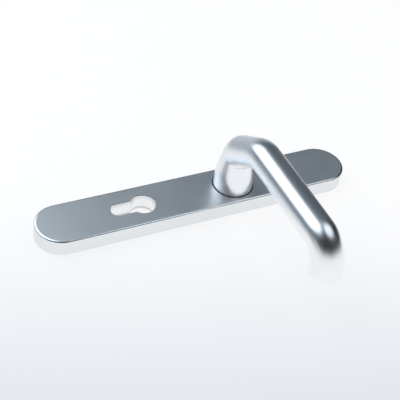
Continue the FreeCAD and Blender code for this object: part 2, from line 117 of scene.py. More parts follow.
class LeverSettings(bpy.types.PropertyGroup):
    neck_radius: length("Neck radius", "Radius of the neck at the plate", 14.7 * MM)
    neck_straight: length("Straight neck", "Height where the neck begins to taper", 21.0 * MM)
    neck_top: length("Neck top", "Height where the elbow begins", 38.0 * MM)
    taper: length("Taper", "Length along the axis from the neck's size to the bar's", 24.6 * MM)
    elbow_radius: length("Elbow radius", "Bend radius of the elbow's axis", 14.1 * MM)
    elbow_turn: degrees("Elbow turn", "Angle that the elbow turns through", 55.0)
    shoulder_radius: length("Shoulder radius", "Bend radius between elbow and bar", 17.6 * MM)
    grip_radius: length("Grip radius", "Radius of the bar", 11.25 * MM)
    grip_height: length("Grip height", "Height of the bar's axis above the door", 66.4 * MM)
    reach: length("Reach", "Turning axis to the return end's axis", 124.4 * MM)
    return_radius: length("Return radius", "Bend radius of the return end", 16.6 * MM)
    tip_radius: length("Tip radius", "Radius of the return end's tip", 10.8 * MM)
    tip_height: length("Tip height", "Height of the tip above the door", 44.0 * MM)
    tip_round: length("Tip rounding", "Rounding of the tip's edge", 1.2 * MM)
    foot_chamfer: length("Foot chamfer", "Chamfer at the neck's foot", 0.3 * MM)
    foot_gap: length("Foot gap", "Gap between the neck and the bush", 0.05 * MM)
    journal: length("Journal radius", "Radius of the part that turns in the bush", 12.0 * MM)
    spigot: length("Spigot radius", "Radius of the inner end", 8.0 * MM)
    flat: length("Flat", "Half the width over the spigot's two flats", 7.2 * MM)
    steps: IntProperty(name="Steps round", description="Steps round the bar", default=128)


class FinishSettings(bpy.types.PropertyGroup):
    plate_metal: colour("Plate", "Anodised aluminium of the plate", (0.81, 0.83, 0.84))
    plate_roughness: share("Plate roughness", "How matt the plate's face is", 0.455)
    edge_polish: share("Edge polish", "How much less matt the plate's edge is", 0.215)
    lever_metal: colour("Lever", "Anodised aluminium of the lever", (0.92, 0.935, 0.95))
    lever_roughness: share("Lever roughness", "How matt the lever is", 0.30)
    zinc: colour("Zinc", "Bright zinc plating", (0.66, 0.68, 0.70))
    plated: colour("Plated guard", "Bright nickel plating of the cylinder's guard",
                   (0.93, 0.935, 0.94))
    hard_steel: colour("Hardened steel", "Ground, hardened steel", (0.40, 0.40, 0.41))
    machined: colour("Machined steel", "Turned and broached steel", (0.50, 0.50, 0.51))
    spring: colour("Spring steel", "Oiled spring steel", (0.30, 0.30, 0.32))
    brass: colour("Brass", "Plain brass", (0.78, 0.60, 0.32))
    plastic: colour("Plastic", "Dark moulded plastic", (0.045, 0.048, 0.052))
    rubber: colour("Rubber", "Black rubber", (0.02, 0.02, 0.02))


class StageSettings(bpy.types.PropertyGroup):
    azimuth: degrees("Azimuth", "Direction that the camera looks from", -31.803)
    elevation: degrees("Elevation", "Height that the camera looks from", 42.760)
    roll: degrees("Roll", "Turn of the camera about its own axis", 9.767)
    distance: length("Distance", "Camera to the point that it looks at", 0.78297)
    target_x: length("Target X", "Point that the camera looks at", -23.748 * MM)
    target_y: length("Target Y", "Point that the camera looks at", 2.864 * MM)
    focal: FloatProperty(name="Focal length", description="In millimetres on a 36 mm sensor",
                         default=95.04)
    floor_half: length("Floor", "Half the floor's width", 6.0)
    floor_colour: colour("Floor colour", "Lit colour of the pale floor", (0.93, 0.935, 0.95))
    floor_far: colour("Floor, far", "Own brightness of the floor behind the plate", (1.0, 1.0, 1.0))
    # Painted shade: the floor's own brightness is darker near the camera, where the light falls
    # off.
    painted_shade_floor_near: colour("Floor, near", "Own brightness of the floor near the camera",
                       (0.70, 0.735, 0.80))
    mirror_near: colour("Surround, near", "Pale surroundings on the camera's side",
                        (0.98, 0.99, 1.0))
    mirror_far: colour("Surround, far", "Grey surroundings beyond the plate", (0.46, 0.50, 0.55))
    mirror_left: colour("Surround, far left", "Darker surroundings beyond the keyhole",
                        (0.31, 0.345, 0.40))
    mirror_dark: colour("Surround, right", "Dark surroundings on the right", (0.05, 0.05, 0.055))
    lamp_tint: colour("Lamps", "Slightly cool white of the soft lamps", (0.82, 0.91, 1.0))
    sky_grey: colour("Sky, grey", "Middle of the sky beyond the plate", (0.068, 0.084, 0.102))
    sky_dark: colour("Sky, dark", "Sky on the camera's side", (0.008, 0.008, 0.009))
    sky_top: colour("Sky, top", "Sky overhead", (0.30, 0.335, 0.37))
    sky_diffuse: colour("Sky, matt", "Plain light that matt pieces get", (0.62, 0.63, 0.65))


class EscutcheonSettings(bpy.types.PropertyGroup):
    plate: PointerProperty(type=PlateSettings)
    lever: PointerProperty(type=LeverSettings)
    finish: PointerProperty(type=FinishSettings)
    stage: PointerProperty(type=StageSettings)


def settings():
    return bpy.context.scene.escutcheon


# Node helpers

def add_node(tree, kind, place=(0, 0), **values):
    node = tree.nodes.new(kind)
    node.location = place
    for name, value in values.items():
        setattr(node, name, value)
    return node


def math_node(tree, operation, first, second=None, third=None, place=(0, 0)):
    """A math node; each of its inputs is a socket or a number."""
    node = add_node(tree, "ShaderNodeMath", place, operation=operation)
    for index, value in enumerate((first, second, third)):
        if value is None:
            continue
        if isinstance(value, bpy.types.NodeSocket):
            tree.links.new(value, node.inputs[index])
        else:
            node.inputs[index].default_value = value
    return node.outputs[0]


def new_group(name, inputs, outputs):
    """An empty shader group; inputs are (name, socket type, default), outputs (name, type)."""
    group = bpy.data.node_groups.new(name, "ShaderNodeTree")
    for label, kind, default in inputs:
        socket = group.interface.new_socket(label, in_out="INPUT", socket_type=kind)
        if default is not None:
            socket.default_value = default
    for label, kind in outputs:
        group.interface.new_socket(label, in_out="OUTPUT", socket_type=kind)
    inside = add_node(group, "NodeGroupInput", (-900, 0))
    return group, inside, add_node(group, "NodeGroupOutput", (600, 0))


def placed_group(tree, group, place, **values):
    node = add_node(tree, "ShaderNodeGroup", place, node_tree=group)
    for name, value in values.items():
        node.inputs[name.replace("_", " ")].default_value = value
    return node


# Surface effects, each a group that several finishes use

def blasted_grain():
    """Fine even grain of a blasted or cast skin: a height and a spread about zero."""
    name = "blasted grain"
    if name in bpy.data.node_groups:
        return bpy.data.node_groups[name]
    group, inside, out = new_group(
        name,
        [("Vector", "NodeSocketVector", None), ("Grain size", "NodeSocketFloat", 0.0004)],
        [("Height", "NodeSocketFloat"), ("Spread", "NodeSocketFloat")])
    scale = math_node(group, "DIVIDE", 1.0, inside.outputs["Grain size"], place=(-700, -150))
    fine = add_node(group, "ShaderNodeTexNoise", (-450, 100))
    fine.inputs["Detail"].default_value = 3.0
    fine.inputs["Roughness"].default_value = 0.6
    group.links.new(inside.outputs["Vector"], fine.inputs["Vector"])
    group.links.new(scale, fine.inputs["Scale"])
    centred = math_node(group, "SUBTRACT", fine.outputs["Fac"], 0.5, place=(-200, -100))
    group.links.new(fine.outputs["Fac"], out.inputs["Height"])
    group.links.new(centred, out.inputs["Spread"])
    return group


def soft_marks():
    """Large faint clouds left by handling and by the anodising bath, about zero."""
    name = "soft marks"
    if name in bpy.data.node_groups:
        return bpy.data.node_groups[name]
    group, inside, out = new_group(
        name,
        [("Vector", "NodeSocketVector", None), ("Mark size", "NodeSocketFloat", 0.02)],
        [("Marks", "NodeSocketFloat")])
    scale = math_node(group, "DIVIDE", 1.0, inside.outputs["Mark size"], place=(-700, -150))
    cloud = add_node(group, "ShaderNodeTexNoise", (-450, 100))
    cloud.inputs["Detail"].default_value = 4.0
    cloud.inputs["Roughness"].default_value = 0.55
    cloud.inputs["Distortion"].default_value = 0.6
    group.links.new(inside.outputs["Vector"], cloud.inputs["Vector"])
    group.links.new(scale, cloud.inputs["Scale"])
    centred = math_node(group, "SUBTRACT", cloud.outputs["Fac"], 0.5, place=(-200, 0))
    group.links.new(centred, out.inputs["Marks"])
    return group


def drawn_lines():
    """Fine lines along one axis, as grinding or linishing leaves them: a height and a spread."""
    name = "drawn lines"
    if name in bpy.data.node_groups:
        return bpy.data.node_groups[name]
    group, inside, out = new_group(
        name,
        [("Vector", "NodeSocketVector", None), ("Line width", "NodeSocketFloat", 0.0002),
         ("Line length", "NodeSocketFloat", 0.02)],
        [("Height", "NodeSocketFloat"), ("Spread", "NodeSocketFloat")])
    parts = add_node(group, "ShaderNodeSeparateXYZ", (-750, 100))
    group.links.new(inside.outputs["Vector"], parts.inputs[0])
    joined = add_node(group, "ShaderNodeCombineXYZ", (-350, 100))
    for axis, size, row in (("X", "Line length", 200), ("Y", "Line width", 50),
                            ("Z", "Line width", -100)):
        part = math_node(group, "DIVIDE", parts.outputs[axis], inside.outputs[size],
                         place=(-550, row))
        group.links.new(part, joined.inputs[axis])
    lines = add_node(group, "ShaderNodeTexNoise", (-150, 100))
    lines.inputs["Scale"].default_value = 1.0
    lines.inputs["Detail"].default_value = 2.0
    group.links.new(joined.outputs[0], lines.inputs["Vector"])
    centred = math_node(group, "SUBTRACT", lines.outputs["Fac"], 0.5, place=(100, -50))
    group.links.new(lines.outputs["Fac"], out.inputs["Height"])
    group.links.new(centred, out.inputs["Spread"])
    return group


# Finishes

POLISH_START, POLISH_FADE = 0.01 * MM, 0.05 * MM


def blank_material(name):
    """A new node material with its tree, its shader and its object coordinates."""
    material = bpy.data.materials.new(name)
    material.use_nodes = True
    tree = material.node_tree
    tree.nodes.clear()
    output = add_node(tree, "ShaderNodeOutputMaterial", (900, 0))
    shader = add_node(tree, "ShaderNodeBsdfPrincipled", (600, 0))
    tree.links.new(shader.outputs[0], output.inputs["Surface"])
    coordinates = add_node(tree, "ShaderNodeTexCoord", (-900, 0))
    return material, tree, shader, coordinates.outputs["Object"]


def tinted(tree, base, amounts, place):
    """The base colour made lighter or darker by two weighted spreads; returns a colour socket."""
    parts = [math_node(tree, "MULTIPLY", spread, weight, place=(place[0] - 400, place[1]))
             for spread, weight in amounts]
    total = math_node(tree, "ADD", *parts, place=(place[0] - 200, place[1]))
    level = math_node(tree, "ADD", total, 1.0, place=(place[0] - 100, place[1]))
    scaled = add_node(tree, "ShaderNodeVectorMath", place, operation="SCALE")
    scaled.inputs[0].default_value = base
    tree.links.new(level, scaled.inputs["Scale"])
    return scaled.outputs[0]


def weighted(tree, base, amounts, place):
    """A number near base, moved by weighted spreads."""
    total = base
    for spread, weight in amounts:
        total = math_node(tree, "MULTIPLY_ADD", spread, weight, total, place=place)
    return total


def dress(tree, shader, tone, gloss, height, strength, distance, metallic=1.0):
    """Gives the shader its colour and roughness, and a relief of this strength and depth."""
    tree.links.new(tone, shader.inputs["Base Color"])
    tree.links.new(gloss, shader.inputs["Roughness"])
    shader.inputs["Metallic"].default_value = metallic
    bump = add_node(tree, "ShaderNodeBump", (300, -300))
    bump.inputs["Strength"].default_value = strength
    bump.inputs["Distance"].default_value = distance
    tree.links.new(height, bump.inputs["Height"])
    tree.links.new(bump.outputs[0], shader.inputs["Normal"])


def satin_aluminium(name, base, roughness, mark_size, polish=0.0, polished_below=None):
    """Blasted and naturally anodised aluminium; its edge may be polished below a height."""
    if name in bpy.data.materials:
        return bpy.data.materials[name]
    material, tree, shader, place = blank_material(name)
    grain = placed_group(tree, blasted_grain(), (-500, 200), Grain_size=0.00035)
    marks = placed_group(tree, soft_marks(), (-500, -100), Mark_size=mark_size)
    for node in (grain, marks):
        tree.links.new(place, node.inputs["Vector"])
    tone = tinted(tree, base,
                  [(grain.outputs["Spread"], 0.03), (marks.outputs["Marks"], 0.05)], (200, 200))
    gloss = weighted(tree, roughness,
                     [(grain.outputs["Spread"], 0.05), (marks.outputs["Marks"], 0.08)], (200, 0))
    if polished_below is not None:
        parts = add_node(tree, "ShaderNodeSeparateXYZ", (-500, -350))
        tree.links.new(place, parts.inputs[0])
        edge = smooth_band(tree, parts.outputs["Z"], polished_below, polished_below - POLISH_FADE,
                           (-300, -350))
        gloss = math_node(tree, "MULTIPLY_ADD", edge, -polish, gloss, place=(300, 0))
    dress(tree, shader, tone, gloss, grain.outputs["Height"], 0.08, 0.00003)
    return material


def ground_metal(name, base, roughness, line_length, line_depth):
    """Steel or brass with fine lines from grinding or rolling."""
    if name in bpy.data.materials:
        return bpy.data.materials[name]
    material, tree, shader, place = blank_material(name)
    lines = placed_group(tree, drawn_lines(), (-500, 200), Line_length=line_length)
    marks = placed_group(tree, soft_marks(), (-500, -100), Mark_size=0.012)
    for node in (lines, marks):
        tree.links.new(place, node.inputs["Vector"])
    tone = tinted(tree, base,
                  [(lines.outputs["Spread"], 0.10), (marks.outputs["Marks"], 0.18)], (200, 200))
    gloss = weighted(tree, roughness,
                     [(lines.outputs["Spread"], 0.12), (marks.outputs["Marks"], 0.15)], (200, 0))
    dress(tree, shader, tone, gloss, lines.outputs["Height"], line_depth, 0.00005)
    return material


def zinc_plating(name="zinc plating"):
    """Bright zinc with the faint warm and blue bloom of its passivation."""
    if name in bpy.data.materials:
        return bpy.data.materials[name]
    material, tree, shader, place = blank_material(name)
    marks = placed_group(tree, soft_marks(), (-700, -100), Mark_size=0.02)
    grain = placed_group(tree, blasted_grain(), (-700, 200), Grain_size=0.0008)
    for node in (grain, marks):
        tree.links.new(place, node.inputs["Vector"])
    position = math_node(tree, "ADD", marks.outputs["Marks"], 0.5, place=(-450, -100))
    bloom = add_node(tree, "ShaderNodeValToRGB", (-250, 150))
    stops = bloom.color_ramp.elements
    base = settings().finish.zinc
    stops[0].position, stops[0].color = 0.30, (base[0] * 0.92, base[1] * 0.97, base[2] * 1.05, 1)
    stops[1].position, stops[1].color = 0.70, (base[0] * 1.06, base[1] * 1.02, base[2] * 0.88, 1)
    tree.links.new(position, bloom.inputs["Fac"])
    gloss = weighted(tree, 0.30,
                     [(grain.outputs["Spread"], 0.20), (marks.outputs["Marks"], 0.12)], (200, 0))
    dress(tree, shader, bloom.outputs["Color"], gloss, grain.outputs["Height"], 0.12, 0.00005)
    return material


def moulded(name, base, roughness, grain_size):
    """Moulded plastic or rubber with a fine matt skin."""
    if name in bpy.data.materials:
        return bpy.data.materials[name]
    material, tree, shader, place = blank_material(name)
    grain = placed_group(tree, blasted_grain(), (-500, 200), Grain_size=grain_size)
    marks = placed_group(tree, soft_marks(), (-500, -100), Mark_size=0.008)
    for node in (grain, marks):
        tree.links.new(place, node.inputs["Vector"])
    tone = tinted(tree, base,
                  [(grain.outputs["Spread"], 0.25), (marks.outputs["Marks"], 0.25)], (200, 200))
    gloss = weighted(tree, roughness,
                     [(grain.outputs["Spread"], 0.15), (marks.outputs["Marks"], 0.10)], (200, 0))
    dress(tree, shader, tone, gloss, grain.outputs["Height"], 0.25, 0.00008, metallic=0.0)
    return material


def plate_aluminium():
    chosen = settings().finish
    return satin_aluminium("satin aluminium, plate", chosen.plate_metal, chosen.plate_roughness,
                           0.030, chosen.edge_polish, PLATE_HIGH.z - POLISH_START)


def lever_aluminium():
    chosen = settings().finish
    return satin_aluminium("satin aluminium, lever", chosen.lever_metal, chosen.lever_roughness,
                           0.045)


def hardened_steel():
    return ground_metal("hardened steel", settings().finish.hard_steel, 0.34, 0.03, 0.25)


def bright_plating():
    return ground_metal("bright plating", settings().finish.plated, 0.24, 0.03, 0.06)


def machined_steel():
    return ground_metal("machined steel", settings().finish.machined, 0.28, 0.0004, 0.15)


def spring_steel():
    return ground_metal("spring steel", settings().finish.spring, 0.26, 0.01, 0.12)


def plain_brass():
    return ground_metal("plain brass", settings().finish.brass, 0.27, 0.01, 0.15)


def dark_plastic():
    return moulded("dark plastic", settings().finish.plastic, 0.52, 0.0005)


def seal_rubber():
    return moulded("seal rubber", settings().finish.rubber, 0.65, 0.0003)


# Mesh helpers

def on_circle(radius, angle, z, x=0.0, y=0.0):
    return Vector((x + radius * math.cos(angle), y + radius * math.sin(angle), z))


def circle(radius, z, steps, x=0.0, y=0.0):
    return [on_circle(radius, 2 * math.pi * i / steps, z, x, y) for i in range(steps)]


def arc(x, radius, start, end, z, steps):
    """Points from the start angle to the end angle about a centre on the X axis."""
    return [on_circle(radius, start + (end - start) * i / steps, z, x) for i in range(steps + 1)]


def stadium(low, high, half, z, steps):
    """Outline with half-round ends, lying along X."""
    right = arc(high - half, half, -math.pi / 2, math.pi / 2, z, steps)
    left = arc(low + half, half, math.pi / 2, 3 * math.pi / 2, z, steps)
    return right + left


def keyhole(plate, grow, z):
    """Outline of the cylinder's cut-out, grown all round."""
    radius = plate.cylinder_radius + grow
    half = plate.slot_half + grow
    centre = -plate.cylinder_distance
    open_angle = math.pi - math.asin(half / radius)
    slot_centre = centre - plate.slot_reach + plate.slot_half
    big = arc(centre, radius, -open_angle, open_angle, z, plate.end_steps)
    small = arc(slot_centre, half, math.pi / 2, 3 * math.pi / 2, z, plate.end_steps // 2)
    return big + small


class Skin:
    """A closed surface made of rings of points."""

    def __init__(self):
        self.bm = bmesh.new()

    def ring(self, points):
        return [self.bm.verts.new(p) for p in points]

    def rings(self, outlines, closed=False):
        """Joins outlines of equal length in turn; returns the first and the last ring."""
        made = [self.ring(outline) for outline in outlines]
        for first, second in zip(made, made[1:]):
            self.bridge(first, second)
        if closed:
            self.bridge(made[-1], made[0])
        return made[0], made[-1]

    def bridge(self, first, second):
        count = len(first)
        for i in range(count):
            j = (i + 1) % count
            self.bm.faces.new((first[i], first[j], second[j], second[i]))

    def cap(self, ring):
        self.bm.faces.new(ring)

    def fill(self, rings):
        """Flat face between an outline and the holes in it."""
        edges = []
        for ring in rings:
            for i, vertex in enumerate(ring):
                after = ring[(i + 1) % len(ring)]
                edge = self.bm.edges.get((vertex, after)) or self.bm.edges.new((vertex, after))
                edges.append(edge)
        bmesh.ops.triangle_fill(self.bm, use_beauty=True, use_dissolve=False, edges=edges)

    def mesh(self, name, sharp=30.0):
        """The finished mesh, smooth but for edges sharper than this angle in degrees."""
        bmesh.ops.recalc_face_normals(self.bm, faces=self.bm.faces)
        made = bpy.data.meshes.new(name)
        self.bm.to_mesh(made)
        self.bm.free()
        made.shade_smooth()
        made.set_sharp_from_angle(angle=math.radians(sharp))
        return made


def shown(name, mesh, material):
    piece = bpy.data.objects.new(name, mesh)
    bpy.context.scene.collection.objects.link(piece)
    mesh.materials.clear()
    mesh.materials.append(material)
    return piece


def solids_of(node):
    """Lowest and highest corner of each separate solid of a node, in order along X and Y."""
    bm = bmesh.new()
    bm.from_mesh(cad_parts[node].data)
    bmesh.ops.remove_doubles(bm, verts=bm.verts, dist=0.001 * MM)
    left = set(bm.verts)
    boxes = []
    while left:
        group, todo = [], [left.pop()]
        while todo:
            vertex = todo.pop()
            group.append(vertex.co.copy())
            for edge in vertex.link_edges:
                other = edge.other_vert(vertex)
                if other in left:
                    left.remove(other)
                    todo.append(other)
        low = Vector([min(p[i] for p in group) for i in range(3)])
        high = Vector([max(p[i] for p in group) for i in range(3)])
        boxes.append((low, high))
    bm.free()
    return sorted(boxes, key=lambda box: (round(box[0].x, 4), round(box[0].y, 4)))


def middle(box):
    return (box[0] + box[1]) / 2


# Repeats made by geometry nodes

def repeat_tree(name):
    """One copy of a piece at each point, as a real mesh with its finish."""
    if name in bpy.data.node_groups:
        return bpy.data.node_groups[name]
    tree = bpy.data.node_groups.new(name, "GeometryNodeTree")
    face = tree.interface
    face.new_socket("Points", in_out="INPUT", socket_type="NodeSocketGeometry")
    face.new_socket("Piece", in_out="INPUT", socket_type="NodeSocketObject")
    face.new_socket("Finish", in_out="INPUT", socket_type="NodeSocketMaterial")
    turn = face.new_socket("Turn between copies", in_out="INPUT", socket_type="NodeSocketFloat")
    turn.subtype = "ANGLE"
    face.new_socket("Copies", in_out="OUTPUT", socket_type="NodeSocketGeometry")
    inside = add_node(tree, "NodeGroupInput", (-700, 0))
    out = add_node(tree, "NodeGroupOutput", (700, 0))
    piece = add_node(tree, "GeometryNodeObjectInfo", (-400, -150))
    index = add_node(tree, "GeometryNodeInputIndex", (-650, -350))
    angle = add_node(tree, "ShaderNodeMath", (-400, -350), operation="MULTIPLY")
    rotation = add_node(tree, "ShaderNodeCombineXYZ", (-200, -350))
    copies = add_node(tree, "GeometryNodeInstanceOnPoints", (0, 0))
    real = add_node(tree, "GeometryNodeRealizeInstances", (200, 0))
    finish = add_node(tree, "GeometryNodeSetMaterial", (450, 0))
    link = tree.links.new
    link(inside.outputs["Points"], copies.inputs["Points"])
    link(inside.outputs["Piece"], piece.inputs["Object"])
    link(piece.outputs["Geometry"], copies.inputs["Instance"])
    link(index.outputs[0], angle.inputs[0])
    link(inside.outputs["Turn between copies"], angle.inputs[1])
    link(angle.outputs[0], rotation.inputs["Z"])
    link(rotation.outputs[0], copies.inputs["Rotation"])
    link(copies.outputs["Instances"], real.inputs["Geometry"])
    link(real.outputs["Geometry"], finish.inputs["Geometry"])
    link(inside.outputs["Finish"], finish.inputs["Material"])
    link(finish.outputs["Geometry"], out.inputs["Copies"])
    return tree


def repeated(name, one_mesh, places, material, turn=0.0):
    """A piece's copies at the places, each turned by a further angle, joined as one plain mesh."""
    one = bpy.data.objects.new(name + " pattern", one_mesh)
    bpy.context.scene.collection.objects.link(one)
    points = bpy.data.meshes.new(name + " places")
    points.from_pydata([tuple(p) for p in places], [], [])
    host = bpy.data.objects.new(name + " host", points)
    bpy.context.scene.collection.objects.link(host)
    tree = repeat_tree("copies at points")
    modifier = host.modifiers.new("copies", "NODES")
    modifier.node_group = tree
    values = {"Piece": one, "Finish": material, "Turn between copies": turn}
    for item in tree.interface.items_tree:
        if item.item_type == "SOCKET" and item.in_out == "INPUT" and item.name in values:
            modifier[item.identifier] = values[item.name]
    bpy.context.view_layer.update()
    placed = host.evaluated_get(bpy.context.evaluated_depsgraph_get())
    made = bpy.data.meshes.new_from_object(placed)
    made.name = name
    bpy.data.objects.remove(host)
    bpy.data.objects.remove(one)
    return shown(name, made, material)


# Cover plate

def cover_mesh(plate):
    low, high = PLATE_LOW.x, PLATE_HIGH.x
    half, top = PLATE_HIGH.y, PLATE_HIGH.z
    ceiling = top - plate.face_wall
    seat = BUSH_HIGH.x
    seat_bottom = BUSH_HIGH.z - plate.bush_flange
    steps = plate.end_steps

    def outline(inset, z):
        return stadium(low + inset, high - inset, half - inset, z, steps)

    skin = Skin()
    loops = [outline(plate.rim_wall, ceiling), outline(plate.rim_wall, 0.0),
             outline(plate.back_chamfer, 0.0), outline(0.0, plate.back_chamfer)]
    for i in range(plate.round_steps + 1):
        angle = math.pi / 2 * i / plate.round_steps
        loops.append(outline(plate.round_in * (1 - math.cos(angle)),
                             top - plate.round_down * (1 - math.sin(angle))))
    loops.append(outline(plate.round_in + plate.hold, top))
    pocket, face = skin.rings(loops)
    cut_top, cut_bottom = skin.rings([
        keyhole(plate, plate.cut_chamfer + plate.hold, top),
        keyhole(plate, plate.cut_chamfer, top),
        keyhole(plate, 0.0, top - plate.cut_chamfer),
        keyhole(plate, 0.0, ceiling)])
    bush_top, bush_bottom = skin.rings([
        circle(seat + plate.hold, top, steps), circle(seat, top, steps),
        circle(seat, seat_bottom, steps), circle(plate.bush_barrel, seat_bottom, steps),
        circle(plate.bush_barrel, ceiling, steps)])
    skin.fill([face, cut_top, bush_top])
    holes = [cut_bottom, bush_bottom]
    for box in solids_of("plate_screws"):
        centre = middle(box)
        holes.append(screw_post(skin, plate, centre.x, centre.y, ceiling))
    skin.fill([pocket] + holes)
    return skin.mesh("cover_shell")


def screw_post(skin, plate, x, y, ceiling):
    """Post inside the cover with its screw hole; returns the ring where it meets the face wall."""
    steps = 32
    hole_radius = 1.5 * MM
    hole_end = ceiling - 1.2 * MM
    root, end = skin.rings([
        circle(plate.post_radius, ceiling, steps, x, y),
        circle(plate.post_radius, plate.post_bottom, steps, x, y),
        circle(hole_radius, plate.post_bottom, steps, x, y),
        circle(hole_radius, hole_end, steps, x, y)])
    skin.cap(end)
    return root


class ESCUTCHEON_OT_cover(bpy.types.Operator):
    """Cover plate with its rounded edge, keyhole cut-out and bush seat"""
    bl_idname = "escutcheon.cover"
    bl_label = "Cover plate"

    def execute(self, context):
        piece = shown("cover_shell", cover_mesh(settings().plate), plate_aluminium())
        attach(piece, "plate")
        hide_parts("cover_plate")
        return {"FINISHED"}


# Lever

def heading(angle):
    """Direction of the lever's axis: 0 out of the door, a quarter turn along the bar."""
    return Vector((0.0, -math.sin(angle), math.cos(angle)))


def tube_ring(point, angle, radius, steps):
    """Round section across the lever's axis."""
    side = heading(angle - math.pi / 2)
    ring = []
    for i in range(steps):
        turn = 2 * math.pi * i / steps
        ring.append(point + Vector((radius * math.cos(turn), 0, 0))
                    + side * (radius * math.sin(turn)))
    return ring


class Walk:
    """Walks along the lever's axis and leaves a section at each step."""

    def __init__(self, start, steps, radius_at):
        self.point = start
        self.angle = 0.0
        self.along = 0.0
        self.steps = steps
        self.radius_at = radius_at
        self.sections = []

    def leave(self):
        radius = self.radius_at(self.along)
        self.sections.append(tube_ring(self.point, self.angle, radius, self.steps))

    def straight(self, distance, pieces):
        for _ in range(pieces):
            self.point = self.point + heading(self.angle) * (distance / pieces)
            self.along += distance / pieces
            self.leave()

    def bend(self, radius, turn, pieces):
        centre = self.point + heading(self.angle + math.pi / 2) * radius
        for _ in range(pieces):
            self.angle += turn / pieces
            self.along += radius * turn / pieces
            self.point = centre - heading(self.angle + math.pi / 2) * radius
            self.leave()


def lever_sections(lever, foot):
    """Sections from the neck's foot to the rounded tip."""
    neck_length = lever.neck_top - foot
    taper_start = lever.neck_straight - foot

    def radius_at(along):
        if along < lever.foot_chamfer:
            return lever.neck_radius - lever.foot_chamfer + along
        t = min(max((along - taper_start) / lever.taper, 0.0), 1.0)
        return lever.neck_radius + (lever.grip_radius - lever.neck_radius) * t * t * (3 - 2 * t)

    walk = Walk(Vector((0, 0, foot)), lever.steps, radius_at)
    walk.leave()
    walk.straight(lever.foot_chamfer, 1)
    walk.straight(taper_start - lever.foot_chamfer, 2)
    walk.straight(neck_length - taper_start, 20)
    walk.bend(lever.elbow_radius, lever.elbow_turn, 32)
    sine = math.sin(lever.elbow_turn)
    rise = (lever.grip_height - lever.neck_top - lever.elbow_radius * sine
            - lever.shoulder_radius * (1 - sine))
    walk.straight(rise / math.cos(lever.elbow_turn), 12)
    walk.bend(lever.shoulder_radius, math.pi / 2 - lever.elbow_turn, 24)
    walk.straight(lever.reach - lever.return_radius + walk.point.y, 8)
    walk.bend(lever.return_radius, math.pi / 2, 48)
    return walk.sections + tip_sections(lever, walk.point)


def tip_sections(lever, start):
    """The return end's last stretch, slightly conical, with its rounded edge."""
    drop = start.z - lever.tip_height
    slope = (lever.grip_radius - lever.tip_radius) / drop
    sections = []
    for i in range(1, 5):
        down = (drop - lever.tip_round) * i / 4
        point = start - Vector((0, 0, down))
        sections.append(tube_ring(point, math.pi, lever.grip_radius - slope * down, lever.steps))
    corner = lever.grip_radius - slope * (drop - lever.tip_round) - lever.tip_round
    for i in range(1, 11):
        angle = math.pi / 2 * i / 10
        point = start - Vector((0, 0, drop - lever.tip_round * (1 - math.sin(angle))))
        radius = corner + lever.tip_round * math.cos(angle)
        sections.append(tube_ring(point, math.pi, radius, lever.steps))
    sections.append(tube_ring(point, math.pi, corner - 0.2 * MM, lever.steps))
    return sections


def flatted(lever, radius, z):
    """Circle with the spigot's two flats."""
    ring = circle(radius, z, lever.steps)
    for point in ring:
        point.y = min(max(point.y, -lever.flat), lever.flat)
    return ring


def bearing_sections(lever, foot):
    """From the neck's foot inwards: journal with the seal's groove, flatted spigot, bore."""
    steps = lever.steps
    seal_low, seal_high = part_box("neck_seal")
    groove_floor = lever.journal - (seal_high.z - seal_low.z)
    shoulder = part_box("thrust_washer")[1].z
    ring_low, ring_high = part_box("retaining_ring")
    ring_floor = lever.spigot - 0.5 * MM
    end = INSERT_LOW.z
    bore = INSERT_HIGH.x
    return [
        circle(lever.journal, foot, steps),
        circle(lever.journal, seal_high.z, steps),
        circle(groove_floor, seal_high.z, steps),
        circle(groove_floor, seal_low.z, steps),
        circle(lever.journal, seal_low.z, steps),
        circle(lever.journal, shoulder, steps),
        flatted(lever, lever.spigot, shoulder),
        flatted(lever, lever.spigot, ring_high.z),
        flatted(lever, ring_floor, ring_high.z),
        flatted(lever, ring_floor, ring_low.z),
        flatted(lever, lever.spigot, ring_low.z),
        flatted(lever, lever.spigot, end),
        circle(bore, end, steps),
        circle(bore, INSERT_HIGH.z, steps),
    ]


class ESCUTCHEON_OT_lever(bpy.types.Operator):
    """Lever handle: tapering neck, elbow, bar and return end, with its bearing and spigot"""
    bl_idname = "escutcheon.lever"
    bl_label = "Lever handle"

    def execute(self, context):
        lever = settings().lever
        foot = BUSH_HIGH.z + lever.foot_gap
        skin = Skin()
        first, last = skin.rings(bearing_sections(lever, foot)[::-1] + lever_sections(lever, foot))
        skin.cap(first)
        skin.cap(last)
        piece = shown("lever_handle", skin.mesh("lever_handle"), lever_aluminium())
        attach(piece, "lever")
        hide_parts("lever")
        return {"FINISHED"}


# Bushes, insert, screws and bosses

def turned(name, profile, steps=96):
    """Closed ring-shaped piece turned from a profile of (radius, height) pairs."""
    skin = Skin()
    skin.rings([circle(radius, z, steps) for radius, z in profile], closed=True)
    return skin.mesh(name)


